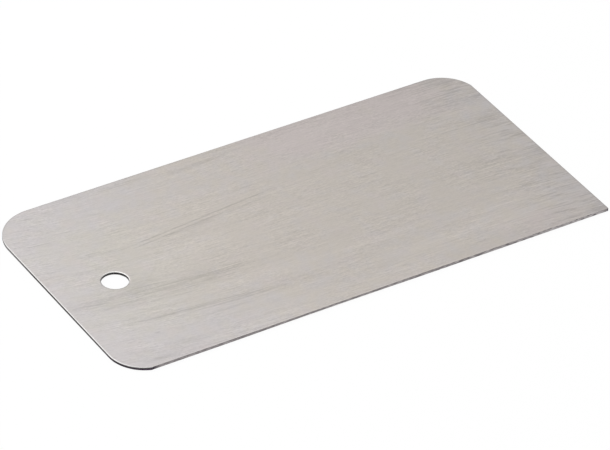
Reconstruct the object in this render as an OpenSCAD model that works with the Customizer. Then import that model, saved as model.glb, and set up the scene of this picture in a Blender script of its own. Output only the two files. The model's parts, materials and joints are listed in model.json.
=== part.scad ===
// Card scraper: one flat steel plate with a hanging hole at one end.
// Three corners are rounded. The front long edge and the far end are ground
// square, and they meet in one sharp corner.
// X runs from the hole end to the far end, and the ground long edge faces -Y.
// The plate lies on z = 0, with the origin below the middle of its outline.

/* [Plate] */
// Length of the finished plate
plate_length = 120; // [80:0.5:180]
// Width of the finished plate
plate_width = 61; // [45:0.5:90]
// Thickness of the sheet
sheet_thickness = 0.7; // [0.4:0.05:2]

/* [Corners] */
// Radius of the corner between the hole end and the back edge
hole_back_radius = 10; // [3:0.1:16]
// Radius of the corner between the hole end and the ground long edge
hole_front_radius = 8.5; // [3:0.1:16]
// Radius of the corner between the far end and the back edge
far_back_radius = 8.6; // [3:0.1:16]
// Width of the small flat that breaks the sharp corner
tip_flat = 0.1; // [0.05:0.05:1]

/* [Hanging hole] */
// Diameter of the hanging hole
hole_diameter = 6; // [3:0.25:10]
// Distance from the hole end of the plate to the hole's centre
hole_end_distance = 14; // [9:0.25:24]
// Distance from the back edge of the plate to the hole's centre
hole_back_distance = 31.3; // [15:0.1:36]

/* [Edges] */
// Depth that grinding takes off the blank along the front long edge
front_grind = 0.5; // [0.1:0.05:1.5]
// Depth that grinding takes off the blank at the far end
end_grind = 0.25; // [0.1:0.05:1.5]
// Radius of the rim that punching rolls over on the upper face
rim_radius = 0.12; // [0.05:0.01:0.3]

/* [Hidden] */
$fn = 128;

// How far a cutter reaches past the surface that it cuts
cutter_margin = 2;

// The finished plate's edges
hole_end_x = -plate_length / 2;
far_end_x = plate_length / 2;
front_y = -plate_width / 2;
back_y = plate_width / 2;

// The punched blank's edges, before the two edges are ground
blank_front_y = front_y - front_grind;
blank_far_x = far_end_x + end_grind;

// How far the flat at the sharp corner reaches along each ground edge
tip_leg = tip_flat / sqrt(2);

// The hanging hole's centre
hole_x = hole_end_x + hole_end_distance;
hole_y = back_y - hole_back_distance;

// Section that the rolled rim takes off an upper edge: the edge is at the
// origin, with the metal on the +X side and below
module rim_section() {
    difference() {
        translate([-cutter_margin, -rim_radius])
            square([cutter_margin + rim_radius, rim_radius + cutter_margin]);
        translate([rim_radius, -rim_radius])
            circle(r = rim_radius);
    }
}

// Everything outside a corner's arc, for a corner at the origin with the plate
// on its +X and +Y sides
module corner_waste(radius) {
    translate([0, 0, -cutter_margin])
        linear_extrude(sheet_thickness + 2 * cutter_margin)
            difference() {
                translate([-cutter_margin, -cutter_margin])
                    square(radius + cutter_margin);
                translate([radius, radius])
                    circle(r = radius);
            }
}

// The rolled rim along that arc
module corner_rim(radius) {
    translate([radius, radius, sheet_thickness])
        rotate([0, 0, 180])
            rotate_extrude(angle = 90)
                translate([radius, 0])
                    mirror([1, 0])
                        rim_section();
}

// One rounded corner of the blank, turned so that its plate side faces the
// middle of the plate
module corner(x, y, turn, radius) {
    translate([x, y, 0])
        rotate([0, 0, turn]) {
            corner_waste(radius);
            corner_rim(radius);
        }
}

// The rolled rim along a straight edge of the blank, from a start point. With
// no turn it runs along +Y, with the plate on its +X side
module straight_rim(x, y, turn, run) {
    translate([x, y, sheet_thickness])
        rotate([0, 0, turn])
            translate([0, run, 0])
                rotate([90, 0, 0])
                    linear_extrude(run)
                        rim_section();
}

// The rim's straight runs, clockwise round the blank from the hole end
module straight_rims() {
    hole_end_start = blank_front_y + hole_front_radius;
    back_start = hole_end_x + hole_back_radius;
    far_end_start = back_y - far_back_radius;
    front_end = hole_end_x + hole_front_radius;
    straight_rim(hole_end_x, hole_end_start, 0, back_y - hole_back_radius - hole_end_start);
    straight_rim(back_start, back_y, -90, blank_far_x - far_back_radius - back_start);
    straight_rim(blank_far_x, far_end_start, 180, far_end_start - blank_front_y);
    straight_rim(blank_far_x, blank_front_y, 90, blank_far_x - front_end);
}

// The punched hanging hole and its own rolled rim
module hanging_hole() {
    translate([hole_x, hole_y, 0]) {
        translate([0, 0, -cutter_margin])
            cylinder(d = hole_diameter, h = sheet_thickness + 2 * cutter_margin);
        translate([0, 0, sheet_thickness])
            rotate_extrude()
                intersection() {
                    translate([hole_diameter / 2, 0])
                        rim_section();
                    translate([0, -cutter_margin])
                        square([hole_diameter, 2 * cutter_margin]);
                }
    }
}

// The blank as it is punched, a little larger than the plate
module punched_blank() {
    difference() {
        translate([hole_end_x, blank_front_y, 0])
            cube([blank_far_x - hole_end_x, back_y - blank_front_y, sheet_thickness]);
        corner(hole_end_x, back_y, -90, hole_back_radius);
        corner(hole_end_x, blank_front_y, 0, hole_front_radius);
        corner(blank_far_x, back_y, 180, far_back_radius);
        straight_rims();
        hanging_hole();
    }
}

// What grinding leaves of the blank: the far end and the front long edge are
// cut square, and a small upright flat breaks the sharp corner between them
module ground_limits() {
    translate([0, 0, -cutter_margin])
        linear_extrude(sheet_thickness + 2 * cutter_margin)
            polygon([
                [hole_end_x - cutter_margin, front_y],
                [far_end_x - tip_leg, front_y],
                [far_end_x, front_y + tip_leg],
                [far_end_x, back_y + cutter_margin],
                [hole_end_x - cutter_margin, back_y + cutter_margin]
            ]);
}

module blade() {
    color([0.76, 0.75, 0.74])
        intersection() {
            punched_blank();
            ground_limits();
        }
}

blade();
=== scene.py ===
import json
from math import pi, radians, sqrt, tan

import bpy
from mathutils import Matrix, Vector


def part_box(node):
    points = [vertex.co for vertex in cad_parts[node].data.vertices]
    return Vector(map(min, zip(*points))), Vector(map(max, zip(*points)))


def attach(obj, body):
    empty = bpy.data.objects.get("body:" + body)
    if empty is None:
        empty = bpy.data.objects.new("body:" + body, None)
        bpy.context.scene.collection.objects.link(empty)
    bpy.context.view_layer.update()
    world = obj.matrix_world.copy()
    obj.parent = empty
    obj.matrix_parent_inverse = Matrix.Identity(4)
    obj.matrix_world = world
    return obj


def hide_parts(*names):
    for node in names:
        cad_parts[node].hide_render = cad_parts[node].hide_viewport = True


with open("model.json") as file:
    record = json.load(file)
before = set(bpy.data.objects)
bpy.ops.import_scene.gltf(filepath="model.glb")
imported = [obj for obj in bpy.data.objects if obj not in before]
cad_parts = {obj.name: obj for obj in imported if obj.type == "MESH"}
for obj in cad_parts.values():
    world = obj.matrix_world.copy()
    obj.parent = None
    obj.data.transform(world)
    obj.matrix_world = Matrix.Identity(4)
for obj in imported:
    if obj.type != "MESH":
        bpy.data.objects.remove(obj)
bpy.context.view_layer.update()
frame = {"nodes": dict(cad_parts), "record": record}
mm = 0.001
plateLow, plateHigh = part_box("blade")
mounts = {mount["name"]: mount for mount in frame["record"]["mounts"]}
print("frame loaded:", sorted(frame["nodes"]), "mounts:", sorted(mounts))


# Small helpers for nodes

mixColourInputs = (6, 7)  # the Mix node lists its colour sockets after those for numbers and vectors
mixColourOutput = 2


def addNode(tree, kind, inputs=None, **settings):
    made = tree.nodes.new(kind)
    for name, value in settings.items():
        setattr(made, name, value)
    for name, value in (inputs or {}).items():
        if isinstance(value, bpy.types.NodeSocket):
            tree.links.new(value, made.inputs[name])
        else:
            made.inputs[name].default_value = value
    return made


def maths(tree, operation, first, second=0.0, third=0.0):
    values = {0: first, 1: second, 2: third}
    return addNode(tree, "ShaderNodeMath", values, operation=operation).outputs[0]


def product(tree, first, *others):
    result = first
    for other in others:
        result = maths(tree, "MULTIPLY", result, other)
    return result


def vectorMaths(tree, operation, first, second):
    return addNode(tree, "ShaderNodeVectorMath", {0: first, 1: second}, operation=operation).outputs[0]


def scaleVector(tree, vector, scale):
    return addNode(tree, "ShaderNodeVectorMath", {0: vector, "Scale": scale}, operation="SCALE").outputs[0]


def ease(tree, value, start, end, low=0.0, high=1.0):  # smooth step between two values
    inputs = {"Value": value, "From Min": start, "From Max": end, "To Min": low, "To Max": high}
    return addNode(tree, "ShaderNodeMapRange", inputs, interpolation_type="SMOOTHSTEP").outputs[0]


def blendColours(tree, factor, first, second):
    made = addNode(tree, "ShaderNodeMix", {0: factor}, data_type="RGBA")
    for index, colour in zip(mixColourInputs, (first, second)):
        if isinstance(colour, bpy.types.NodeSocket):
            tree.links.new(colour, made.inputs[index])
        else:
            made.inputs[index].default_value = (*colour, 1.0)
    return made.outputs[mixColourOutput]


def newGroup(name, inputs, outputs):
    group = bpy.data.node_groups.new(name, "ShaderNodeTree")
    for title, kind, value in inputs:
        socket = group.interface.new_socket(name=title, in_out="INPUT", socket_type="NodeSocket" + kind)
        if value is not None:
            socket.default_value = value
    for title, kind in outputs:
        group.interface.new_socket(name=title, in_out="OUTPUT", socket_type="NodeSocket" + kind)
    given = group.nodes.new("NodeGroupInput").outputs
    result = group.nodes.new("NodeGroupOutput").inputs
    return group, given, result


def placeGroup(tree, group, inputs):
    return addNode(tree, "ShaderNodeGroup", inputs, node_tree=group)


def newMaterial(name):
    material = bpy.data.materials.new(name)
    material.use_nodes = True
    shader = material.node_tree.nodes["Principled BSDF"]
    return material, material.node_tree, shader


# Helpers for picking what the next tool works on

def pick(piece, kind, wanted):
    bpy.ops.object.mode_set(mode="EDIT")
    bpy.ops.mesh.select_mode(type=kind)
    bpy.ops.mesh.select_all(action="DESELECT")
    bpy.ops.object.mode_set(mode="OBJECT")
    mesh = piece.data
    items = {"VERT": mesh.vertices, "EDGE": mesh.edges, "FACE": mesh.polygons}[kind]
    for item in items:
        item.select = wanted(item)
    bpy.ops.object.mode_set(mode="EDIT")


def borderKeys(mesh, faceWanted):
    return {key for face in mesh.polygons if faceWanted(face) for key in face.edge_keys}


# The blade: punched from sheet, then ground square along the front edge and the far end

blade = {
    "low": plateLow,
    "high": plateHigh,
    "thickness": plateHigh.z - plateLow.z,
    "holeBackRadius": 10 * mm,
    "holeFrontRadius": 8.5 * mm,
    "farBackRadius": 8.6 * mm,
    "cornerSteps": 48,
    "holeCentre": Vector(mounts["hanging_hole"]["pos_m"]),
    "holeRadius": mounts["hanging_hole"]["dims"]["r_mm"] * mm,
    "holeSteps": 128,
    "punchLength": 4.2 * mm,
    "rimRadius": 0.12 * mm,
    "rimSteps": 6,
    "arcProfile": 0.5,  # the bevel tool's value for a round arc
    "frontGrind": 0.5 * mm,
    "endGrind": 0.25 * mm,
    "tipFlat": 0.1 * mm,
    "smoothAngle": radians(40),
    "flatNormal": 0.999,  # a face is level if its normal's z is past this
    "wallNormal": 0.02,  # and upright if its normal's z is within this
    "cutTolerance": 0.0001 * mm,
    "mergeDistance": 0.001 * mm,
}


def modelBlade(size):
    low, high = size["low"], size["high"]
    blankFront = low.y - size["frontGrind"]
    blankFar = high.x + size["endGrind"]
    blankCentre = ((low.x + blankFar) / 2, (blankFront + high.y) / 2, low.z)
    blankScale = (blankFar - low.x, high.y - blankFront, 1)

    # the flat blank, with three corners rounded
    bpy.ops.object.select_all(action="DESELECT")
    bpy.ops.mesh.primitive_plane_add(size=1, location=blankCentre)
    piece = bpy.context.object
    piece.name = "scraper_blade"
    piece.scale = blankScale
    bpy.ops.object.transform_apply(location=True, rotation=True, scale=True)
    corners = (
        (Vector((low.x, high.y, low.z)), size["holeBackRadius"]),
        (Vector((low.x, blankFront, low.z)), size["holeFrontRadius"]),
        (Vector((blankFar, high.y, low.z)), size["farBackRadius"]),
    )
    for corner, radius in corners:
        pick(piece, "VERT", lambda vert: (vert.co - corner).length < size["mergeDistance"])
        bpy.ops.mesh.bevel(offset=radius, segments=size["cornerSteps"], profile=size["arcProfile"],
                           affect="VERTICES", clamp_overlap=False)
    pick(piece, "FACE", lambda face: True)
    bpy.ops.mesh.extrude_region_move(TRANSFORM_OT_translate={"value": (0, 0, size["thickness"])})
    bpy.ops.mesh.select_all(action="SELECT")
    bpy.ops.mesh.normals_make_consistent(inside=False)
    bpy.ops.object.mode_set(mode="OBJECT")

    # the punch for the hanging hole
    bpy.ops.object.select_all(action="DESELECT")
    bpy.ops.mesh.primitive_cylinder_add(vertices=size["holeSteps"], radius=size["holeRadius"],
                                        depth=size["punchLength"], location=size["holeCentre"])
    punch = bpy.context.object
    bpy.ops.object.select_all(action="DESELECT")
    piece.select_set(True)
    bpy.context.view_layer.objects.active = piece
    cut = piece.modifiers.new("hangingHole", "BOOLEAN")
    cut.operation = "DIFFERENCE"
    cut.solver = "EXACT"
    cut.object = punch
    bpy.ops.object.modifier_apply(modifier=cut.name)
    bpy.data.objects.remove(punch)

    # punching rolls the upper rim over, round the blank and round the hole
    upperKeys = borderKeys(piece.data, lambda face: face.normal.z > size["flatNormal"])
    wallKeys = borderKeys(piece.data, lambda face: abs(face.normal.z) < size["wallNormal"])
    rimKeys = upperKeys & wallKeys
    pick(piece, "EDGE", lambda edge: edge.key in rimKeys)
    bpy.ops.mesh.bevel(offset=size["rimRadius"], segments=size["rimSteps"], profile=size["arcProfile"],
                       affect="EDGES", clamp_overlap=False)

    # grinding cuts the front edge and the far end square, and the tip is broken
    tipLeg = size["tipFlat"] / sqrt(2)
    cuts = (
        ((0, low.y, 0), (0, -1, 0)),
        ((high.x, 0, 0), (1, 0, 0)),
        ((high.x - tipLeg, low.y, 0), (1, -1, 0)),
    )
    for place, outward in cuts:
        bpy.ops.mesh.select_all(action="SELECT")
        bpy.ops.mesh.bisect(plane_co=place, plane_no=outward, use_fill=True, clear_outer=True,
                            threshold=size["cutTolerance"])
    bpy.ops.mesh.select_all(action="SELECT")
    bpy.ops.mesh.remove_doubles(threshold=size["mergeDistance"])
    bpy.ops.mesh.normals_make_consistent(inside=False)
    bpy.ops.object.mode_set(mode="OBJECT")

    # round faces shade smoothly, and the flat ones stay flat
    bpy.ops.object.shade_smooth_by_angle(angle=size["smoothAngle"])
    weighted = piece.modifiers.new("flatFaces", "WEIGHTED_NORMAL")
    weighted.keep_sharp = True
    bpy.ops.object.modifier_apply(modifier=weighted.name)
    return piece


bladePiece = modelBlade(blade)
print("blade modelled:", len(bladePiece.data.vertices), "points,", len(bladePiece.data.polygons), "faces")


# Node groups that the steel finishes share

strokeFall = 4.0  # makes a stroke fade out at half its length and half its height


def makeBrushFlow():  # places on the plate in mm, and how far each lies across the curved brushing
    inputs = [("Place", "Vector", None), ("Near Turn", "Float", -0.25), ("Near Reach", "Float", 25.0),
              ("Reach Lean", "Float", -0.35), ("Far Turn", "Float", -0.1), ("Far Reach", "Float", 13.0)]
    outputs = [("X", "Float"), ("Y", "Float"), ("Z", "Float"), ("Across", "Float")]
    group, given, result = newGroup("brushFlow", inputs, outputs)
    inMm = scaleVector(group, given["Place"], 1 / mm)
    parts = addNode(group, "ShaderNodeSeparateXYZ", {0: inMm}).outputs

    # the brushing turns towards each end, and further along the front than along the back
    nearReach = maths(group, "MULTIPLY_ADD", parts["Y"], given["Reach Lean"], given["Near Reach"])
    fromNear = maths(group, "SUBTRACT", blade["low"].x / mm, parts["X"])
    nearFade = maths(group, "EXPONENT", maths(group, "DIVIDE", fromNear, nearReach))
    nearShift = product(group, nearFade, nearReach, given["Near Turn"])
    toFar = maths(group, "SUBTRACT", parts["X"], blade["high"].x / mm)
    farFade = maths(group, "EXPONENT", maths(group, "DIVIDE", toFar, given["Far Reach"]))
    farShift = product(group, farFade, given["Far Reach"], given["Far Turn"])
    across = maths(group, "SUBTRACT", maths(group, "ADD", parts["Y"], nearShift), farShift)
    for title in ("X", "Y", "Z"):
        group.links.new(parts[title], result[title])
    group.links.new(across, result["Across"])
    return group


def makeHairlines():  # drawn-out grain, about 0.5 on average
    inputs = [("Along", "Float", 0.0), ("Across", "Float", 0.0), ("Length", "Float", 20.0),
              ("Pitch", "Float", 0.4), ("Seed", "Float", 0.0)]
    group, given, result = newGroup("hairlines", inputs, [("Lines", "Float")])
    alongShare = maths(group, "DIVIDE", given["Along"], given["Length"])
    acrossShare = maths(group, "DIVIDE", given["Across"], given["Pitch"])
    drawn = addNode(group, "ShaderNodeCombineXYZ", {0: alongShare, 1: acrossShare, 2: given["Seed"]})
    noise = {"Vector": drawn.outputs[0], "Scale": 1.0, "Detail": 2.0, "Roughness": 0.5}
    grain = addNode(group, "ShaderNodeTexNoise", noise)
    group.links.new(grain.outputs[0], result["Lines"])
    return group


def makeBrushStroke():  # one soft, slightly bent mark of the brush
    inputs = [("X", "Float", 0.0), ("Y", "Float", 0.0), ("Streaks", "Float", 0.5),
              ("Middle X", "Float", 0.0), ("Middle Y", "Float", 0.0), ("Length", "Float", 10.0),
              ("Height", "Float", 1.0), ("Slope", "Float", 0.0), ("Bend", "Float", 0.0)]
    group, given, result = newGroup("brushStroke", inputs, [("Mask", "Float")])
    fromX = maths(group, "SUBTRACT", given["X"], given["Middle X"])
    fromY = maths(group, "SUBTRACT", given["Y"], given["Middle Y"])
    rise = maths(group, "MULTIPLY_ADD", fromX, given["Bend"], given["Slope"])
    offLine = maths(group, "SUBTRACT", fromY, product(group, fromX, rise))
    alongShare = maths(group, "DIVIDE", fromX, given["Length"])
    acrossShare = maths(group, "DIVIDE", offLine, given["Height"])
    fades = []
    for share in (alongShare, acrossShare):
        left = maths(group, "MULTIPLY_ADD", product(group, share, share), -strokeFall, 1.0)
        fades.append(maths(group, "MAXIMUM", left, 0.0))
    alongFade, acrossFade = fades
    mask = product(group, alongFade, acrossFade, acrossFade, given["Streaks"])
    group.links.new(mask, result["Mask"])
    return group


def makeMottle():  # soft cloudy patches, about 0.5 on average
    inputs = [("Place", "Vector", None), ("Patch", "Float", 10.0), ("Seed", "Float", 0.0)]
    group, given, result = newGroup("mottle", inputs, [("Patches", "Float")])
    perMetre = maths(group, "DIVIDE", 1 / mm, given["Patch"])
    spread = scaleVector(group, given["Place"], perMetre)
    placed = vectorMaths(group, "ADD", spread, given["Seed"])
    noise = {"Vector": placed, "Scale": 1.0, "Detail": 1.0, "Roughness": 0.4}
    clouds = addNode(group, "ShaderNodeTexNoise", noise)
    group.links.new(clouds.outputs[0], result["Patches"])
    return group


brushFlow = makeBrushFlow()
hairlines = makeHairlines()
brushStroke = makeBrushStroke()
mottle = makeMottle()


# Helpers for the steel finishes, with places and sizes in mm

noiseMiddle = 0.5  # hairlines and patches swing about this value
holeSides = (-2.0, 2.5)  # between these distances the hole's near side turns into its far side


def platePlace(tree):  # the piece's own coordinates, and the brushing there
    place = addNode(tree, "ShaderNodeTexCoord").outputs["Object"]
    return place, placeGroup(tree, brushFlow, {"Place": place}).outputs


def grainLines(tree, along, across, layer, seedShift=0.0):
    inputs = {"Along": along, "Across": across, "Length": layer["length"], "Pitch": layer["pitch"],
              "Seed": layer["seed"] + seedShift}
    return placeGroup(tree, hairlines, inputs).outputs["Lines"]


def patches(tree, place, spots, seedShift=0.0):
    inputs = {"Place": place, "Patch": spots["size"], "Seed": spots["seed"] + seedShift}
    return placeGroup(tree, mottle, inputs).outputs["Patches"]


def addSwing(tree, total, value, weight):
    swing = maths(tree, "SUBTRACT", value, noiseMiddle)
    return maths(tree, "MULTIPLY_ADD", swing, weight, total)


def darken(tree, tone, mask, weight):
    return maths(tree, "MULTIPLY_ADD", mask, -weight, tone)


def acrossHole(tree, flow, near, far):  # one value in front and left of the hole, another behind and right
    centre = blade["holeCentre"] / mm
    behind = maths(tree, "SUBTRACT", maths(tree, "ADD", flow["X"], flow["Y"]), centre.x + centre.y)
    return ease(tree, behind, *holeSides, near, far)


def fromBackOutline(tree, flow):  # how far a place lies inside the back edge and its two arcs
    nearRadius, farRadius = blade["holeBackRadius"] / mm, blade["farBackRadius"] / mm
    nearCentre = blade["low"].x / mm + nearRadius
    farCentre = (blade["high"].x + blade["endGrind"]) / mm - farRadius
    radius = ease(tree, flow["X"], nearCentre, farCentre, nearRadius, farRadius)
    pastNear = maths(tree, "SUBTRACT", nearCentre, flow["X"])
    pastFar = maths(tree, "SUBTRACT", flow["X"], farCentre)
    pastEnd = maths(tree, "MAXIMUM", maths(tree, "MAXIMUM", pastNear, pastFar), 0.0)
    fromBack = maths(tree, "SUBTRACT", blade["high"].y / mm, flow["Y"])
    pastBack = maths(tree, "MAXIMUM", maths(tree, "SUBTRACT", radius, fromBack), 0.0)
    square = maths(tree, "MULTIPLY_ADD", pastEnd, pastEnd, product(tree, pastBack, pastBack))
    return maths(tree, "SUBTRACT", radius, maths(tree, "SQRT", square))


def finishSteel(tree, shader, colour, roughness):
    tree.links.new(colour, shader.inputs["Base Color"])
    tree.links.new(roughness, shader.inputs["Roughness"])
    shader.inputs["Metallic"].default_value = 1.0


def addRelief(tree, shader, height, depth):
    bump = addNode(tree, "ShaderNodeBump", {"Height": height, "Distance": depth, "Strength": 1.0})
    tree.links.new(bump.outputs[0], shader.inputs["Normal"])


# Brushed faces: grain and bands along the plate, single strokes, and scuffs at the far end that also carry
# painted shade
# Two values in brackets are where something starts and where it is whole, or what it goes from and to

faceFinish = {
    "paleSteel": (0.613, 0.613, 0.613),
    "darkSteel": (0.411, 0.411, 0.411),
    "middleTone": 0.5,
    "roughness": (0.47, 0.35),  # where the tone is darkest and palest
    "layers": (  # the first one is also the relief
        {"length": 30.0, "pitch": 0.35, "seed": 1.3, "weight": 0.3},
        {"length": 46.0, "pitch": 1.3, "seed": 4.7, "weight": 0.15},
        {"length": 80.0, "pitch": 4.5, "seed": 8.2, "weight": 0.2},
        {"length": 8.0, "pitch": 0.36, "seed": 14.6, "weight": 0.4},
        {"length": 2.4, "pitch": 0.28, "seed": 11.9, "weight": 0.6},
        {"length": 0.6, "pitch": 0.26, "seed": 33.4, "weight": 0.75},
    ),
    "reliefDepth": 0.004 * mm,
    "grainAreas": {"size": 9.0, "seed": 12.0, "limits": (0.3, 0.7), "share": (0.55, 1.36)},
    "scratches": {"length": 9.0, "pitch": 0.36, "seed": 27.1, "limits": (0.6, 0.72), "weight": 0.16},
    "streaks": {"length": 7.0, "pitch": 0.32, "seed": 15.4, "limits": (0.36, 0.64), "share": (0.15, 1.5)},
    "scuffTicks": {"length": 4.0, "pitch": 0.32, "seed": 19.6, "limits": (0.48, 0.66)},
    "scuffBands": {"length": 20.0, "pitch": 3.0, "seed": 23.5, "limits": (0.36, 0.62)},
    # the scuffs darken the far end, partly as painted shade
    "scuffAndShadeX": (34.0, 58.0),
    "scuffAndShadeWeight": 0.53,
    "farEdgeShadeWidth": 0.45,  # painted shade: a dark line inside the far edge
    "farEdgeShadeWeight": 0.42,
    "frontEdgeWidth": 0.5,  # a worn, pale line inside the front edge, strongest in mid-length
    "frontEdgeWeight": 0.36,
    "frontEdgeNearX": (-52.0, -34.0),
    "frontEdgeFarX": (46.0, 0.0),
    "backEdgeShadeWidth": 0.6,  # painted shade: a dark line inside the back edge and its arcs
    "backEdgeShadeWeight": 0.22,
    "backEdgeShadeY": (22.0, 25.0),
    "holeRing": 0.34,  # width of a ring round the hole, with painted shade on its near side and a painted highlight on its far one
    "holeRingShadeAndHighlight": (-0.3, 0.5),
}


def grainTone(tree, place, flow, plan, lines, seedShift):
    grain = 0.0
    for layer in plan["layers"]:
        grain = addSwing(tree, grain, lines(layer), layer["weight"])

    # the grain is weak in some areas and strong in others
    areas = plan["grainAreas"]
    share = ease(tree, patches(tree, place, areas, seedShift), *areas["limits"], *areas["share"])
    tone = maths(tree, "MULTIPLY_ADD", grain, share, plan["middleTone"])

    # single dark hairlines all over
    scratches = ease(tree, lines(plan["scratches"]), *plan["scratches"]["limits"])
    tone = darken(tree, tone, product(tree, scratches, share), plan["scratches"]["weight"])

    # scuffs get denser towards the far end, and their darkening is also painted shade for the light falling
    # off towards that end
    ticks = ease(tree, lines(plan["scuffTicks"]), *plan["scuffTicks"]["limits"])
    bands = ease(tree, lines(plan["scuffBands"]), *plan["scuffBands"]["limits"])
    scuffsAndShade = product(tree, ticks, bands, ease(tree, flow["X"], *plan["scuffAndShadeX"]))
    return darken(tree, tone, scuffsAndShade, plan["scuffAndShadeWeight"])


def edgeTone(tree, place, flow, plan, tone):
    # painted shade makes a dark line inside the far edge, and a worn, pale line lies inside the front edge
    farX, frontY = blade["high"].x / mm, blade["low"].y / mm
    farEdgeShade = ease(tree, flow["X"], farX - plan["farEdgeShadeWidth"], farX)
    tone = darken(tree, tone, farEdgeShade, plan["farEdgeShadeWeight"])
    frontLine = ease(tree, flow["Y"], frontY + plan["frontEdgeWidth"], frontY)
    frontNear = ease(tree, flow["X"], *plan["frontEdgeNearX"])
    frontFar = ease(tree, flow["X"], *plan["frontEdgeFarX"])
    tone = darken(tree, tone, product(tree, frontLine, frontNear, frontFar), -plan["frontEdgeWeight"])

    # painted shade makes another dark line inside the back edge and its arcs
    backEdgeShade = ease(tree, fromBackOutline(tree, flow), plan["backEdgeShadeWidth"], 0.0)
    backEdgeShade = product(tree, backEdgeShade, ease(tree, flow["Y"], *plan["backEdgeShadeY"]))
    tone = darken(tree, tone, backEdgeShade, plan["backEdgeShadeWeight"])

    # and a ring round the hole, with painted shade on its near side and a painted highlight on its far one,
    # like the hole's rim
    fromHole = vectorMaths(tree, "SUBTRACT", place, blade["holeCentre"])
    level = vectorMaths(tree, "MULTIPLY", fromHole, (1, 1, 0))
    radius = addNode(tree, "ShaderNodeVectorMath", {0: level}, operation="LENGTH").outputs["Value"]
    ringStart = blade["holeRadius"] + blade["rimRadius"]
    paintedRing = ease(tree, radius, ringStart + plan["holeRing"] * mm, ringStart)
    return maths(tree, "MULTIPLY_ADD", paintedRing, acrossHole(tree, flow, *plan["holeRingShadeAndHighlight"]), tone)


# Strokes that stand out on the upper face. A negative strength makes a paler one

def stroke(x, y, length, height, strength, rise=0.0, bend=0.0):  # mm, degrees of rise and bend per mm
    shape = {"Middle X": x, "Middle Y": y, "Length": length, "Height": height}
    return {**shape, "Slope": tan(radians(rise)), "Bend": bend}, strength


upperStrokes = (
    # scratches and smears that rise towards the middle
    stroke(-20.5, 9.6, 44.0, 0.65, 0.62, rise=5.2),
    stroke(-25.0, 8.1, 27.0, 0.6, 0.5, rise=5.1),
    stroke(-21.0, 8.0, 15.0, 2.8, 0.2, rise=5.0),
    stroke(-6.0, 9.2, 17.0, 1.3, 0.14, rise=5.0),
    # smears that fall away from the hole end
    stroke(-43.0, -10.8, 28.0, 1.1, 0.3, rise=-9.6, bend=0.0056),
    stroke(-45.0, -8.0, 27.0, 5.6, 0.17, rise=-6.0),
    stroke(-28.0, -9.4, 23.0, 6.0, 0.16, rise=-2.0),
    stroke(-30.0, -8.5, 62.0, 9.0, 0.13, rise=-2.5, bend=0.0015),
    stroke(-55.0, -6.0, 12.0, 4.5, 0.12, rise=-9.0),
    stroke(-43.0, -4.5, 11.0, 7.0, 0.15, rise=-4.0),
    stroke(-34.0, -17.4, 42.0, 2.0, 0.33, rise=-5.9),
    stroke(-30.0, -18.9, 28.0, 0.8, 0.22, rise=-4.0),
    stroke(-31.0, -20.8, 19.0, 1.0, 0.24, rise=-2.0),
    stroke(-16.0, -19.4, 30.0, 5.0, 0.12, rise=-3.0),
    # short marks round the hole end
    stroke(-55.0, 17.8, 8.0, 1.0, 0.36, rise=-5.0),
    stroke(-45.3, 9.7, 3.6, 1.0, 0.36, rise=-6.0),
    stroke(-47.4, -20.9, 1.6, 0.9, 0.5, rise=-8.0),
    stroke(-47.0, 29.0, 0.8, 0.8, 0.5),
    stroke(-51.0, -28.8, 9.0, 1.8, 0.25, rise=-6.0),
    # along the back edge
    stroke(-26.0, 28.8, 15.0, 1.4, 0.25),
    stroke(-9.5, 27.3, 20.0, 2.2, 0.18),
    stroke(30.0, 29.5, 70.0, 6.0, 0.12),
    stroke(50.0, 29.4, 24.0, 4.0, 0.22),
    # scuffed bands at the far end
    stroke(55.0, 27.0, 12.0, 4.0, 0.2),
    stroke(56.0, 20.8, 13.0, 4.0, 0.1),
    stroke(56.0, 11.6, 12.0, 4.0, 0.16),
    stroke(51.8, -3.0, 8.0, 1.8, 0.24),
    stroke(58.0, -5.6, 8.0, 6.5, 0.22),
    stroke(54.0, -8.6, 13.0, 2.2, 0.22),
    stroke(57.0, -13.5, 10.0, 5.0, 0.16),
    stroke(53.5, -19.9, 14.0, 1.4, 0.18),
    stroke(57.5, -23.6, 8.0, 2.4, 0.2),
    stroke(58.5, -28.3, 8.0, 3.6, 0.34),
    stroke(53.0, -29.4, 18.0, 1.6, 0.25),
    stroke(59.5, -29.6, 7.0, 3.2, 0.35),
    # broad areas that are a little darker or paler
    stroke(2.0, -19.0, 32.0, 1.4, 0.1),
    stroke(33.0, -23.0, 52.0, 11.0, -0.17),
    stroke(-55.0, 18.5, 14.0, 6.0, 0.1, rise=-6.0),
    stroke(38.0, 25.5, 30.0, 7.0, 0.11),
    stroke(0.0, -10.5, 18.0, 5.0, 0.12),
    stroke(-29.0, 1.0, 24.0, 7.0, -0.13),
    stroke(-44.0, -26.0, 10.0, 4.0, 0.12, rise=-6.0),
    stroke(-27.0, -28.8, 36.0, 4.0, -0.16, rise=-1.0),
    stroke(10.0, -27.0, 22.0, 6.0, -0.15),
    stroke(44.0, -18.5, 32.0, 7.0, -0.13),
)


def strokeTone(tree, flow, plan, lines, strokes, tone):
    streaks = ease(tree, lines(plan["streaks"]), *plan["streaks"]["limits"], *plan["streaks"]["share"])
    for shape, strength in strokes:
        inputs = {"X": flow["X"], "Y": flow["Y"], "Streaks": streaks, **shape}
        mask = placeGroup(tree, brushStroke, inputs).outputs["Mask"]
        tone = darken(tree, tone, mask, strength)
    return tone


# Tints of the steel: warmest along the middle, greyer at the ends, a little olive round the hole and rosier
# along the back edge

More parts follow.
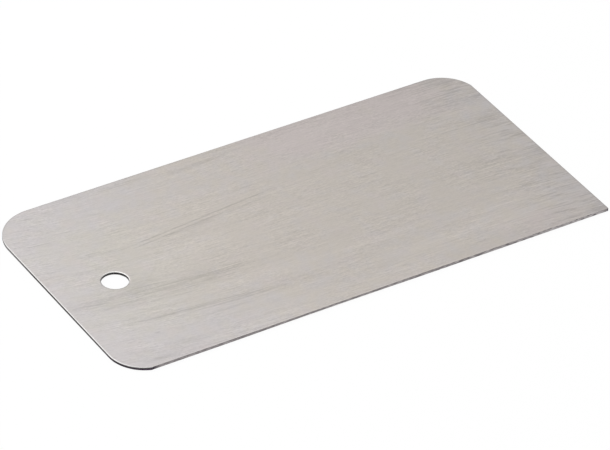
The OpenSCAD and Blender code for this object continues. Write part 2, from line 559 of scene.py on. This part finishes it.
faceTint = {
    "cool": (1.052, 1.0, 0.998),
    "warm": (1.079, 1.0, 0.92),
    "warmNearX": (-70.0, -34.0),
    "warmFarX": (44.0, 62.0),
    "warmFarShare": (1.0, 0.45),
    "warmMiddle": (28.0, 10.0),  # distances from the middle line
    "warmMiddleShare": (0.1, 1.0),
    "warmSideX": (-50.0, -8.0),  # past here the sides are nearly as warm
    "warmSideShare": (0.0, 0.8),
    "warmSpots": {"size": 3.0, "seed": 2.0, "weight": 1.5},
    "olive": (1.048, 1.0, 0.925),
    "oliveToWarmX": (-56.0, -14.0),
    "rosy": (1.1, 1.0, 0.972),
    "rosyBackX": (-6.0, 14.0),
    "rosyBackY": (14.0, 23.0),
    "rosyFrontX": (26.0, 46.0),
    "rosyFrontY": (-19.0, -26.0),
    "rosyFrontShare": (0.0, 0.5),
    "rosyFarX": (42.0, 60.0),
    "rosyFarShare": (1.0, 0.1),
    "rosySpots": {"size": 4.0, "seed": 6.0, "weight": 1.6},
}


def steelTint(tree, place, flow, plan, seedShift):
    x, y = flow["X"], flow["Y"]
    middle = ease(tree, maths(tree, "ABSOLUTE", y), *plan["warmMiddle"], *plan["warmMiddleShare"])
    side = ease(tree, x, *plan["warmSideX"], *plan["warmSideShare"])
    warmNear = ease(tree, x, *plan["warmNearX"])
    warmFar = ease(tree, x, *plan["warmFarX"], *plan["warmFarShare"])
    warm = product(tree, warmNear, warmFar, maths(tree, "MAXIMUM", middle, side))
    warmSpots = patches(tree, place, plan["warmSpots"], seedShift)
    warm = addSwing(tree, warm, warmSpots, plan["warmSpots"]["weight"])
    warmth = blendColours(tree, ease(tree, x, *plan["oliveToWarmX"]), plan["olive"], plan["warm"])
    tint = blendColours(tree, warm, plan["cool"], warmth)

    rosyBack = product(tree, ease(tree, y, *plan["rosyBackY"]), ease(tree, x, *plan["rosyBackX"]))
    rosyFront = product(tree, ease(tree, y, *plan["rosyFrontY"]),
                        ease(tree, x, *plan["rosyFrontX"], *plan["rosyFrontShare"]))
    rosyFar = ease(tree, x, *plan["rosyFarX"], *plan["rosyFarShare"])
    rosy = product(tree, maths(tree, "MAXIMUM", rosyBack, rosyFront), rosyFar)
    rosySpots = patches(tree, place, plan["rosySpots"], seedShift)
    rosy = addSwing(tree, rosy, rosySpots, plan["rosySpots"]["weight"])
    return blendColours(tree, rosy, tint, plan["rosy"])


def brushedFace(name, plan, tintPlan, strokes, seedShift):
    material, tree, shader = newMaterial(name)
    place, flow = platePlace(tree)

    def lines(layer):
        return grainLines(tree, flow["X"], flow["Across"], layer, seedShift)

    tone = grainTone(tree, place, flow, plan, lines, seedShift)
    tone = strokeTone(tree, flow, plan, lines, strokes, tone)
    tone = edgeTone(tree, place, flow, plan, tone)
    steel = blendColours(tree, tone, plan["darkSteel"], plan["paleSteel"])
    tinted = vectorMaths(tree, "MULTIPLY", steel, steelTint(tree, place, flow, tintPlan, seedShift))
    finishSteel(tree, shader, tinted, ease(tree, tone, 0.0, 1.0, *plan["roughness"]))
    addRelief(tree, shader, lines(plan["layers"][0]), plan["reliefDepth"])
    return material


# Rolled rim: polished by the punch and paler still as a painted highlight, with painted shade that makes it
# duller towards the back edge and darker low on the front arc

rimFinish = {
    # the pale colour is partly a painted highlight, the dull one painted shade
    "pale": (0.8, 0.785, 0.775),
    "dullShade": (0.30, 0.285, 0.28),
    "highlightTone": 0.95,
    "shadeTone": 0.05,
    "backShadeY": (20.5, 31.0),
    # painted shade low on the front arc
    "dark": (0.07, 0.065, 0.072),
    "arcShadeY": (-26.0, -30.4),
    "arcShadeZ": (0.7, 0.63),
    "spots": (
        {"size": 2.5, "seed": 5.0, "weight": 0.4},
        {"size": 0.5, "seed": 7.0, "weight": 0.3},
    ),
    "edgeTint": (0.45, 0.45, 0.45, 1.0),
    "roughness": (0.38, 0.28),
}

# The hole's rim: a painted highlight on the far side and painted shade on the near one
holeRimFinish = {
    **rimFinish,
    "pale": (0.97, 0.955, 0.94),
    "dullShade": (0.13, 0.125, 0.122),
}


# a painted highlight on the rim that turns to painted shade towards the back edge
def backEdgeTone(tree, flow, plan):
    return ease(tree, flow["Y"], *plan["backShadeY"], plan["highlightTone"], plan["shadeTone"])


# painted shade on the hole rim's near side, a painted highlight on its far side
def holeTone(tree, flow, plan):
    return acrossHole(tree, flow, plan["shadeTone"], plan["highlightTone"])


def rolledRim(name, plan, toneFrom):
    material, tree, shader = newMaterial(name)
    place, flow = platePlace(tree)
    tone = toneFrom(tree, flow, plan)
    for spots in plan["spots"]:
        tone = addSwing(tree, tone, patches(tree, place, spots), spots["weight"])
    # painted shade low on the front arc
    dark = product(tree, ease(tree, flow["Y"], *plan["arcShadeY"]), ease(tree, flow["Z"], *plan["arcShadeZ"]))
    colour = blendColours(tree, tone, plan["dullShade"], plan["pale"])
    colour = blendColours(tree, dark, colour, plan["dark"])
    finishSteel(tree, shader, colour, ease(tree, tone, 0.0, 1.0, *plan["roughness"]))
    shader.inputs["Specular Tint"].default_value = plan["edgeTint"]
    return material


# Walls: fine marks shade the colour, the roughness and the relief

markShadeLimits = (0.25, 0.75)
markRoughLimits = (0.2, 0.8)


def shadeByMarks(tree, colour, marks, plan):
    return scaleVector(tree, colour, ease(tree, marks, *markShadeLimits, *plan["shade"]))


def finishWall(tree, shader, colour, marks, plan):
    finishSteel(tree, shader, colour, ease(tree, marks, *markRoughLimits, *plan["roughness"]))
    addRelief(tree, shader, marks, plan["reliefDepth"])


# Punched wall: dark torn steel and a burnished band above it, both darkened as painted shade, and a fine pale
# burr at its foot. It is stained along the front arc, paler towards the back and carries a painted highlight
# under the rim of the hole end

punchedFinish = {
    # the torn steel's colour is darkened as painted shade
    "tornAndShaded": (0.033, 0.031, 0.03),
    "stained": (0.075, 0.05, 0.082),
    "stainY": (-14.0, -24.0),
    "stains": {"size": 4.0, "seed": 9.0},
    "burnished": (0.073, 0.07, 0.069),
    "burnishedZ": (0.32, 0.43),
    # the wall is paler towards the back
    "paleBack": (0.17, 0.162, 0.165),
    "paleBackY": (8.0, 16.0),
    # a painted highlight under the rim of the hole end
    "paintedGlint": (0.42, 0.405, 0.40),
    "paintedGlintX": (-54.0, -58.0),
    "paintedGlintZ": (0.47, 0.55),
    "paintedGlintY": (-4.0, -18.0),
    "paintedGlintShare": (0.25, 1.0),  # weak behind and whole towards the front
    "burr": (0.45, 0.435, 0.43),
    "burrY": (-25.0, -20.0),
    "burrZ": (0.13, 0.02),
    "waves": {"size": 1.2, "seed": 3.0, "weight": 0.2},  # the band and the burr are uneven
    "marks": {"length": 1.6, "pitch": 0.12, "seed": 31.0},
    "shade": (0.7, 1.3),
    "roughness": (0.42, 0.6),
    "reliefDepth": 0.012 * mm,
}


def punchedWall(name, plan):
    material, tree, shader = newMaterial(name)
    place, flow = platePlace(tree)
    around = maths(tree, "ADD", flow["X"], flow["Y"])
    marks = grainLines(tree, flow["Z"], around, plan["marks"])
    height = addSwing(tree, flow["Z"], patches(tree, place, plan["waves"]), plan["waves"]["weight"])

    stain = product(tree, patches(tree, place, plan["stains"]), ease(tree, flow["Y"], *plan["stainY"]))
    colour = blendColours(tree, stain, plan["tornAndShaded"], plan["stained"])
    colour = blendColours(tree, ease(tree, height, *plan["burnishedZ"]), colour, plan["burnished"])
    colour = blendColours(tree, ease(tree, flow["Y"], *plan["paleBackY"]), colour, plan["paleBack"])
    # a painted highlight under the rim of the hole end, strongest towards the front
    paintedGlint = product(tree, ease(tree, flow["Z"], *plan["paintedGlintZ"]),
                       ease(tree, flow["X"], *plan["paintedGlintX"]),
                       ease(tree, flow["Y"], *plan["paintedGlintY"], *plan["paintedGlintShare"]))
    colour = blendColours(tree, paintedGlint, colour, plan["paintedGlint"])
    burr = product(tree, ease(tree, height, *plan["burrZ"]), ease(tree, flow["Y"], *plan["burrY"]))
    colour = blendColours(tree, burr, colour, plan["burr"])
    finishWall(tree, shader, shadeByMarks(tree, colour, marks, plan), marks, plan)
    return material


# Ground wall: marks of the stone along the edge, dark and bright specks that get denser towards the far end,
# and a bright burr along the foot, widest in mid-length

groundFinish = {
    "ground": (0.265, 0.243, 0.2465),
    "bright": (0.47, 0.443, 0.445),
    "paleX": (20.0, 50.0),
    "paleShare": (0.0, 0.55),
    "speck": (0.12, 0.108, 0.112),
    "specks": {"length": 1.3, "pitch": 0.5, "seed": 44.0},
    "darkSpecks": (0.5, 0.64),
    "brightSpecks": (0.5, 0.34),
    "speckX": (-20.0, 60.0),
    "speckShare": (0.4, 1.0),
    "tip": (1.8, 0.9),  # distances from the tip at which the wall gets plainer
    "tipDot": (0.45, 0.225),  # and dark
    "tornAndShaded": (0.07, 0.06, 0.072),
    "tornAndShadedX": (-52.2, -54.0),  # the torn wall of the front arc, darkened as painted shade, runs on to here
    "burr": (0.95, 0.94, 0.93),
    "burrHeight": 0.165,
    "burrFade": 0.03,
    "burrNearX": (-40.0, -14.0),
    "burrFarX": (18.0, -8.0),
    "marks": {"length": 7.0, "pitch": 0.09, "seed": 41.0},
    "shade": (0.82, 1.18),
    "roughness": (0.4, 0.56),
    "reliefDepth": 0.01 * mm,
}


def groundWall(name, plan):
    material, tree, shader = newMaterial(name)
    flow = platePlace(tree)[1]
    along = maths(tree, "ADD", flow["X"], flow["Y"])
    marks = grainLines(tree, along, flow["Z"], plan["marks"])
    specks = grainLines(tree, along, flow["Z"], plan["specks"])

    speckShare = ease(tree, flow["X"], *plan["speckX"], *plan["speckShare"])
    dark = product(tree, ease(tree, specks, *plan["darkSpecks"]), speckShare)
    bright = product(tree, ease(tree, specks, *plan["brightSpecks"]), speckShare)
    pale = ease(tree, flow["X"], *plan["paleX"], *plan["paleShare"])
    colour = blendColours(tree, maths(tree, "MAXIMUM", bright, pale), plan["ground"], plan["bright"])
    colour = blendColours(tree, dark, colour, plan["speck"])

    fromFar = maths(tree, "SUBTRACT", blade["high"].x / mm, flow["X"])
    fromFront = maths(tree, "SUBTRACT", flow["Y"], blade["low"].y / mm)
    fromTip = maths(tree, "ADD", fromFar, fromFront)
    colour = blendColours(tree, ease(tree, fromTip, *plan["tip"]), colour, plan["ground"])
    # the front arc's dark wall, partly painted shade, and a dark dot at the tip
    tornAndShaded = maths(tree, "MAXIMUM", ease(tree, flow["X"], *plan["tornAndShadedX"]), ease(tree, fromTip, *plan["tipDot"]))
    colour = blendColours(tree, tornAndShaded, colour, plan["tornAndShaded"])
    shaded = shadeByMarks(tree, colour, marks, plan)

    burrNear = ease(tree, flow["X"], *plan["burrNearX"])
    burrShare = product(tree, burrNear, ease(tree, flow["X"], *plan["burrFarX"]))
    aboveBurr = maths(tree, "MULTIPLY_ADD", burrShare, -plan["burrHeight"], flow["Z"])
    burr = ease(tree, aboveBurr, 0.0, -plan["burrFade"])
    finishWall(tree, shader, blendColours(tree, burr, shaded, plan["burr"]), marks, plan)
    return material


lowerSeedShift = 50.0  # gives the lower face a grain of its own
finishes = {
    "upperFace": brushedFace("brushedUpperFace", faceFinish, faceTint, upperStrokes, 0.0),
    "lowerFace": brushedFace("brushedLowerFace", faceFinish, faceTint, (), lowerSeedShift),
    "rolledRim": rolledRim("rolledRim", rimFinish, backEdgeTone),
    "holeRim": rolledRim("holeRim", holeRimFinish, holeTone),
    "punchedWall": punchedWall("punchedWall", punchedFinish),
    "groundWall": groundWall("groundWall", groundFinish),
}


def finishOf(face, size):
    normal = face.normal
    if normal.z > size["flatNormal"]:
        return "upperFace"
    if normal.z < -size["flatNormal"]:
        return "lowerFace"
    if abs(normal.z) > size["wallNormal"]:
        fromHole = (face.center - size["holeCentre"]).to_2d().length
        return "holeRim" if fromHole < size["holeRadius"] + size["rimRadius"] else "rolledRim"
    onFront = abs(face.center.y - size["low"].y) < size["mergeDistance"]
    onFarEnd = abs(face.center.x - size["high"].x) < size["mergeDistance"]
    return "groundWall" if onFront or onFarEnd else "punchedWall"


finishNames = list(finishes)
for finishName in finishNames:
    bladePiece.data.materials.append(finishes[finishName])
faceCounts = dict.fromkeys(finishNames, 0)
for face in bladePiece.data.polygons:
    finishName = finishOf(face, blade)
    face.material_index = finishNames.index(finishName)
    faceCounts[finishName] += 1
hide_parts("blade")
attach(bladePiece, "root")
print("finishes given:", faceCounts)


# White floor, just under the plate

floorPlan = {
    "side": 8.0,
    "gap": 0.05 * mm,
    "colour": (0.95, 0.95, 0.95),
    "whiteShare": 0.93,  # how much of the floor's look is plain white, the rest takes the shadow
}


def makeFloor(plan):
    bpy.ops.object.select_all(action="DESELECT")
    bpy.ops.mesh.primitive_plane_add(size=plan["side"], location=(0, 0, blade["low"].z - plan["gap"]))
    floor = bpy.context.object
    floor.name = "white_floor"
    material, tree, shader = newMaterial("whiteFloor")
    shader.inputs["Base Color"].default_value = (*plan["colour"], 1.0)
    shader.inputs["Roughness"].default_value = 1.0
    shader.inputs["Specular IOR Level"].default_value = 0.0
    rays = addNode(tree, "ShaderNodeLightPath").outputs
    seen = maths(tree, "MAXIMUM", rays["Is Camera Ray"], rays["Is Glossy Ray"])
    seen = maths(tree, "MAXIMUM", seen, rays["Is Transmission Ray"])
    share = maths(tree, "MULTIPLY", seen, plan["whiteShare"])
    white = addNode(tree, "ShaderNodeEmission", {"Color": (1, 1, 1, 1), "Strength": 1.0})
    both = addNode(tree, "ShaderNodeMixShader", {0: share, 1: shader.outputs[0], 2: white.outputs[0]})
    tree.links.new(both.outputs[0], tree.nodes["Material Output"].inputs["Surface"])
    floor.data.materials.append(material)


makeFloor(floorPlan)


# Camera at the photo's view, 610 by 450 pixels

cameraPlan = {
    "imageWidth": 610,
    "azimuth": -32.99,
    "elevation": 35.91,
    "roll": 2.13,
    "distance": 1021.1 * mm,
    "focalPixels": 4743,
    "aimRight": 1.384 * mm,  # where the view's middle falls, from the middle of the lower face
    "aimUp": -1.419 * mm,
    "sensorWidth": 36,
}


def makeCamera(plan):
    turn = Matrix.Rotation(radians(plan["azimuth"]), 3, "Z")
    turn = turn @ Matrix.Rotation(radians(90 - plan["elevation"]), 3, "X")
    turn = turn @ Matrix.Rotation(radians(plan["roll"]), 3, "Z")
    middle = (blade["low"] + blade["high"]) / 2
    middle.z = blade["low"].z
    place = middle + turn @ Vector((plan["aimRight"], plan["aimUp"], plan["distance"]))
    bpy.ops.object.camera_add(location=place, rotation=turn.to_euler())
    camera = bpy.context.object
    camera.data.sensor_width = plan["sensorWidth"]
    camera.data.lens = plan["focalPixels"] * plan["sensorWidth"] / plan["imageWidth"]
    bpy.context.scene.camera = camera


makeCamera(cameraPlan)


# Soft studio light: an even room, a softbox over the hole end and one in front

lightPlan = {
    "roomColour": (0.79, 0.79, 0.79),
    "softboxes": {
        "backSoftbox": {"place": (-0.10, 0.215, 0.362), "width": 0.55, "height": 0.44, "level": 0.88},
        "frontSoftbox": {"place": (-0.33, -0.23, 0.52), "width": 0.40, "height": 0.40, "level": 0.8},
    },
}


def makeLight(plan):
    world = bpy.data.worlds.new("studio")
    world.use_nodes = True
    backdrop = world.node_tree.nodes["Background"]
    backdrop.inputs["Color"].default_value = (*plan["roomColour"], 1.0)
    bpy.context.scene.world = world

    # each softbox faces the plate, and its level is how bright it looks, where 1 is white
    for name, box in plan["softboxes"].items():
        turn = Vector(box["place"]).to_track_quat("Z", "Y").to_euler()
        bpy.ops.object.light_add(type="AREA", location=box["place"], rotation=turn)
        softbox = bpy.context.object
        softbox.name = name
        softbox.data.shape = "RECTANGLE"
        softbox.data.size = box["width"]
        softbox.data.size_y = box["height"]
        softbox.data.energy = box["level"] * pi * box["width"] * box["height"]
        softbox.visible_camera = False


makeLight(lightPlan)
bpy.context.scene.view_settings.view_transform = "Standard"
print("floor, camera and light in place")
